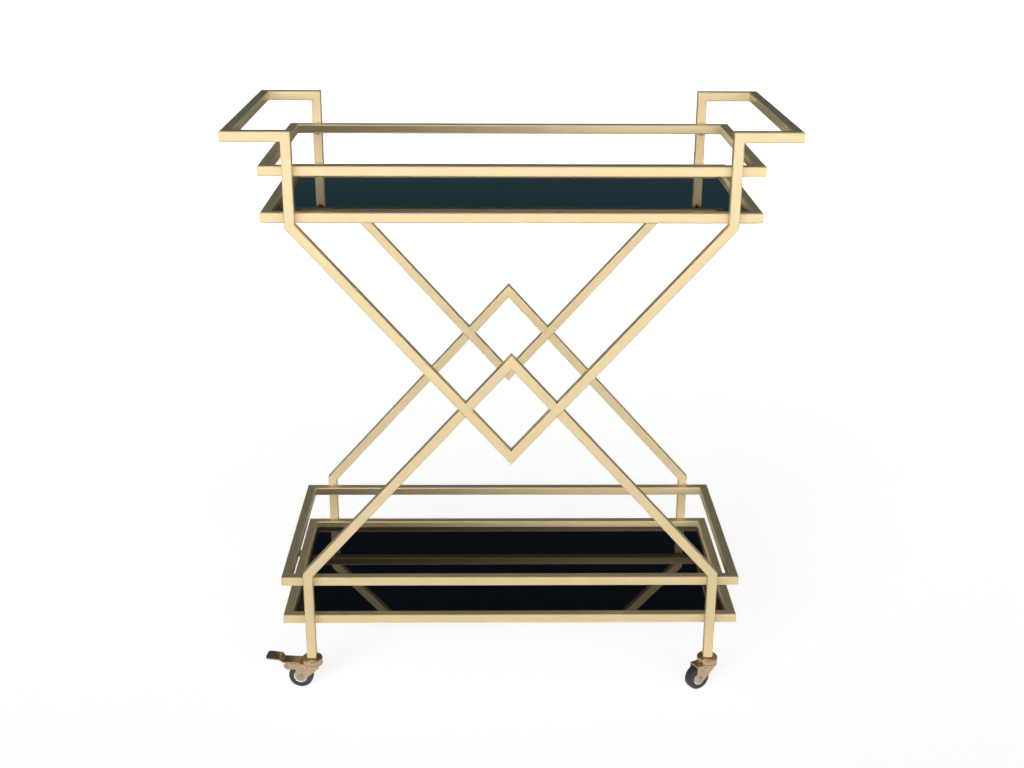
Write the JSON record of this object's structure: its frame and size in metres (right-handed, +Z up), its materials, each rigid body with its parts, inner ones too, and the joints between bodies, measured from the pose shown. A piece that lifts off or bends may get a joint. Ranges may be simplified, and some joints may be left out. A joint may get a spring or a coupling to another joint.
{
  "type": "bar cart",
  "caption": "Rolling bar cart of square tube: two black glass shelves with guard rails, crossed side braces, a handle at each end and swivel casters.",
  "frame": {"origin": "on the floor, under the middle of the cart", "axes": "+X to the right-hand handle, +Y to the back, +Z up"},
  "size_m": [0.826, 0.4216, 0.905],
  "materials": {
    "frame_gold": "light gold metallic lacquer on steel, semi-gloss",
    "caster_gold": "light copper-gold plated pressed steel",
    "black_glass": "tempered black glass, polished, bevelled edges",
    "clear_pad": "clear soft bumper",
    "hub_plastic": "moulded light grey",
    "tyre_rubber": "dark grey rubber, smooth tread",
    "zinc_steel": "zinc plated",
    "ball_steel": "polished"
  },
  "bodies": {
    "root": {"back_left_handle_arm": "frame_gold", "back_left_leg": "frame_gold", "back_left_lower_brace": "frame_gold", "back_left_peak_brace": "frame_gold", "back_left_upright": "frame_gold", "back_left_vee_brace": "frame_gold", "back_right_handle_arm": "frame_gold", "back_right_leg": "frame_gold", "back_right_lower_brace": "frame_gold", "back_right_peak_brace": "frame_gold", "back_right_upright": "frame_gold", "back_right_vee_brace": "frame_gold", "bearing_balls": "ball_steel", "caster_caps": "caster_gold", "caster_stems": "zinc_steel", "front_left_handle_arm": "frame_gold", "front_left_leg": "frame_gold", "front_left_lower_brace": "frame_gold", "front_left_peak_brace": "frame_gold", "front_left_upright": "frame_gold", "front_left_vee_brace": "frame_gold", "front_right_handle_arm": "frame_gold", "front_right_leg": "frame_gold", "front_right_lower_brace": "frame_gold", "front_right_peak_brace": "frame_gold", "front_right_upright": "frame_gold", "front_right_vee_brace": "frame_gold", "glass_bumpers": "clear_pad", "left_handle_bar": "frame_gold", "leg_inserts": "zinc_steel", "lower_glass": "black_glass", "lower_glass_ledge": "frame_gold", "lower_guard_rail": "frame_gold", "lower_shelf_frame": "frame_gold", "right_handle_bar": "frame_gold", "upper_glass": "black_glass", "upper_glass_ledge": "frame_gold", "upper_guard_rail": "frame_gold", "upper_shelf_frame": "frame_gold", "weld_beads": "frame_gold"},
    "front_left_swivel": {"front_left_fork": "caster_gold", "front_left_axle": "zinc_steel", "front_left_brake_pin": "zinc_steel"},
    "front_left_wheel": {"front_left_wheel_hub": "hub_plastic", "front_left_tyre": "tyre_rubber"},
    "front_left_brake": {"front_left_brake_pedal": "caster_gold"},
    "front_right_swivel": {"front_right_fork": "caster_gold", "front_right_axle": "zinc_steel"},
    "front_right_wheel": {"front_right_wheel_hub": "hub_plastic", "front_right_tyre": "tyre_rubber"},
    "back_left_swivel": {"back_left_fork": "caster_gold", "back_left_axle": "zinc_steel", "back_left_brake_pin": "zinc_steel"},
    "back_left_wheel": {"back_left_wheel_hub": "hub_plastic", "back_left_tyre": "tyre_rubber"},
    "back_left_brake": {"back_left_brake_pedal": "caster_gold"},
    "back_right_swivel": {"back_right_fork": "caster_gold", "back_right_axle": "zinc_steel"},
    "back_right_wheel": {"back_right_wheel_hub": "hub_plastic", "back_right_tyre": "tyre_rubber"}
  },
  "joints": [
    {"name": "front_left_swivel_turn", "type": "hinge", "parent": "root", "child": "front_left_swivel", "pos_m": [-0.3205, -0.1855, 0.0493], "axis": [0, 0, 1], "continuous": true},
    {"name": "front_left_wheel_roll", "type": "hinge", "parent": "front_left_swivel", "child": "front_left_wheel", "pos_m": [-0.3394, -0.18351, 0.02], "axis": [0.1045, 0.9945, 0], "continuous": true},
    {"name": "front_left_brake_press", "type": "hinge", "parent": "front_left_swivel", "child": "front_left_brake", "pos_m": [-0.36078, -0.18127, 0.039], "axis": [-0.1045, -0.9945, 0], "range_deg": [0, 20]},
    {"name": "front_right_swivel_turn", "type": "hinge", "parent": "root", "child": "front_right_swivel", "pos_m": [0.3205, -0.1855, 0.0493], "axis": [0, 0, 1], "continuous": true},
    {"name": "front_right_wheel_roll", "type": "hinge", "parent": "front_right_swivel", "child": "front_right_wheel", "pos_m": [0.30405, -0.195, 0.02], "axis": [-0.5, 0.866, 0], "continuous": true},
    {"name": "back_left_swivel_turn", "type": "hinge", "parent": "root", "child": "back_left_swivel", "pos_m": [-0.3205, 0.1855, 0.0493], "axis": [0, 0, 1], "continuous": true},
    {"name": "back_left_wheel_roll", "type": "hinge", "parent": "back_left_swivel", "child": "back_left_wheel", "pos_m": [-0.3394, 0.18351, 0.02], "axis": [-0.1045, 0.9945, 0], "continuous": true},
    {"name": "back_left_brake_press", "type": "hinge", "parent": "back_left_swivel", "child": "back_left_brake", "pos_m": [-0.36078, 0.18127, 0.039], "axis": [0.1045, -0.9945, 0], "range_deg": [0, 20]},
    {"name": "back_right_swivel_turn", "type": "hinge", "parent": "root", "child": "back_right_swivel", "pos_m": [0.3205, 0.1855, 0.0493], "axis": [0, 0, 1], "continuous": true},
    {"name": "back_right_wheel_roll", "type": "hinge", "parent": "back_right_swivel", "child": "back_right_wheel", "pos_m": [0.30405, 0.195, 0.02], "axis": [0.5, 0.866, 0], "continuous": true}
  ]
}
